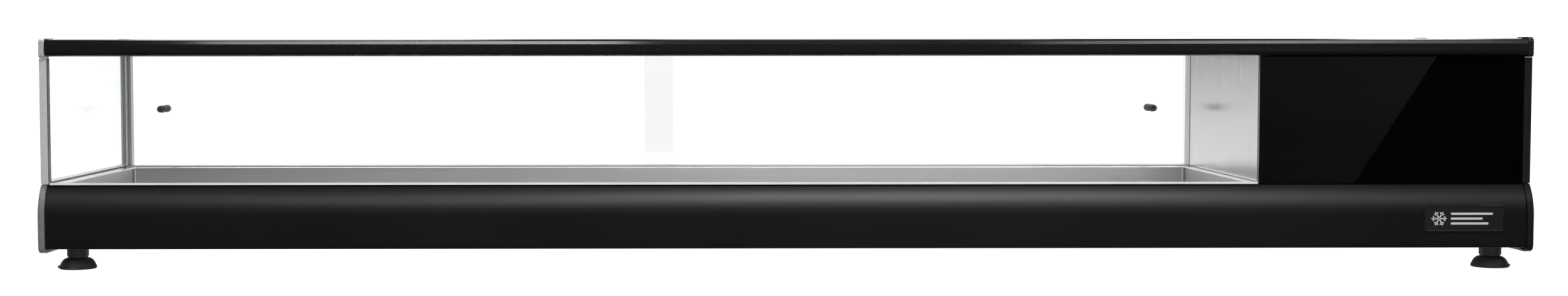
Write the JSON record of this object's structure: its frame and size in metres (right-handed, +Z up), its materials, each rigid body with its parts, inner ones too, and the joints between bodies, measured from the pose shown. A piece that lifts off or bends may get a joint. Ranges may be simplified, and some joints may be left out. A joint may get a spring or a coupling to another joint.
{
  "type": "refrigerated countertop display case",
  "caption": "Long, low refrigerated countertop display: stainless pan well, clear glass case, sliding rear doors, black machine bay at the right end, suction-cup feet.",
  "frame": {"origin": "on the table, under the middle of the case", "axes": "+X to the right seen from the front, +Y to the rear (operator's side), +Z up; the front faces -Y"},
  "size_m": [1.78, 0.4, 0.278],
  "materials": {
    "stainless": "satin",
    "galvanised": "matte",
    "aluminium": "satin",
    "satin_black": "satin",
    "black_sheet": "satin",
    "black_plastic": "satin",
    "black_casting": "satin",
    "grey_casting": "satin",
    "clear_glass": "polished",
    "black_glass": "polished",
    "rubber": "matte",
    "foam": "matte",
    "copper": "satin",
    "compressor_paint": "satin",
    "display_window": "gloss",
    "green_lens": "gloss",
    "lamp_diffuser": "matte"
  },
  "bodies": {
    "case": {"base_pan": "galvanised", "insulation_foam": "foam", "evaporator_coil": "copper", "well_liner": "stainless", "front_fascia": "satin_black", "rear_apron": "stainless", "left_end_cap": "grey_casting", "right_end_cap": "black_casting", "nameplate": "black_plastic", "foot_stem_front_left": "black_plastic", "suction_cup_front_left": "rubber", "foot_stem_front_right": "black_plastic", "suction_cup_front_right": "rubber", "foot_stem_rear_left": "black_plastic", "suction_cup_rear_left": "rubber", "foot_stem_rear_right": "black_plastic", "suction_cup_rear_right": "rubber", "left_side_frame": "grey_casting", "right_side_frame": "satin_black", "left_side_glass": "clear_glass", "right_side_panel": "black_sheet", "corner_cap_front_left": "grey_casting", "corner_cap_front_right": "black_casting", "corner_cap_rear_left": "grey_casting", "corner_cap_rear_right": "black_casting", "front_top_rail": "satin_black", "rear_top_track": "aluminium", "rear_bottom_track": "aluminium", "left_door_jamb": "aluminium", "right_door_jamb": "aluminium", "top_glass": "clear_glass", "machine_top_cover": "black_sheet", "front_glass": "clear_glass", "machine_front_glass": "black_glass", "bulkhead": "stainless", "led_strip": "lamp_diffuser", "rear_service_panel": "stainless", "cable_gland": "black_plastic", "thermostat_body": "black_plastic", "thermostat_display": "display_window", "switch_housing": "black_plastic", "compressor": "compressor_paint", "suction_line": "copper", "filter_drier": "copper", "condenser": "aluminium", "fan_shroud": "black_sheet", "fan_motor": "black_plastic"},
    "left_door": {"left_door_glass": "clear_glass", "left_door_knob": "black_plastic", "left_door_screw": "black_plastic"},
    "right_door": {"right_door_glass": "clear_glass", "right_door_knob": "black_plastic", "right_door_screw": "black_plastic"},
    "fan": {"fan_rotor": "black_plastic"},
    "main_switch": {"main_rocker": "green_lens"},
    "lamp_switch": {"lamp_rocker": "black_plastic"},
    "button_1": {"thermostat_button_1": "black_plastic"},
    "button_2": {"thermostat_button_2": "black_plastic"},
    "button_3": {"thermostat_button_3": "black_plastic"},
    "button_4": {"thermostat_button_4": "black_plastic"}
  },
  "joints": [
    {"name": "left_door_slide", "type": "slide", "parent": "case", "child": "left_door", "axis": [1, 0, 0], "range_m": [0, 0.645]},
    {"name": "right_door_slide", "type": "slide", "parent": "case", "child": "right_door", "axis": [1, 0, 0], "range_m": [-0.645, 0]},
    {"name": "fan_spin", "type": "hinge", "parent": "case", "child": "fan", "pos_m": [0.80895, 0, 0.1347], "axis": [1, 0, 0], "continuous": true},
    {"name": "main_rocker_tilt", "type": "hinge", "parent": "case", "child": "main_switch", "pos_m": [0.7677, 0.159, 0.205], "axis": [-1, 0, 0], "range_deg": [0, 16]},
    {"name": "lamp_rocker_tilt", "type": "hinge", "parent": "case", "child": "lamp_switch", "pos_m": [0.7897, 0.159, 0.205], "axis": [-1, 0, 0], "range_deg": [0, 16]},
    {"name": "button_1_press", "type": "slide", "parent": "case", "child": "button_1", "axis": [0, -1, 0], "range_m": [0, 0.0006], "stiffness_N_per_m": 80, "springref_m": -0.0005},
    {"name": "button_2_press", "type": "slide", "parent": "case", "child": "button_2", "axis": [0, -1, 0], "range_m": [0, 0.0006], "stiffness_N_per_m": 80, "springref_m": -0.0005},
    {"name": "button_3_press", "type": "slide", "parent": "case", "child": "button_3", "axis": [0, -1, 0], "range_m": [0, 0.0006], "stiffness_N_per_m": 80, "springref_m": -0.0005},
    {"name": "button_4_press", "type": "slide", "parent": "case", "child": "button_4", "axis": [0, -1, 0], "range_m": [0, 0.0006], "stiffness_N_per_m": 80, "springref_m": -0.0005}
  ]
}
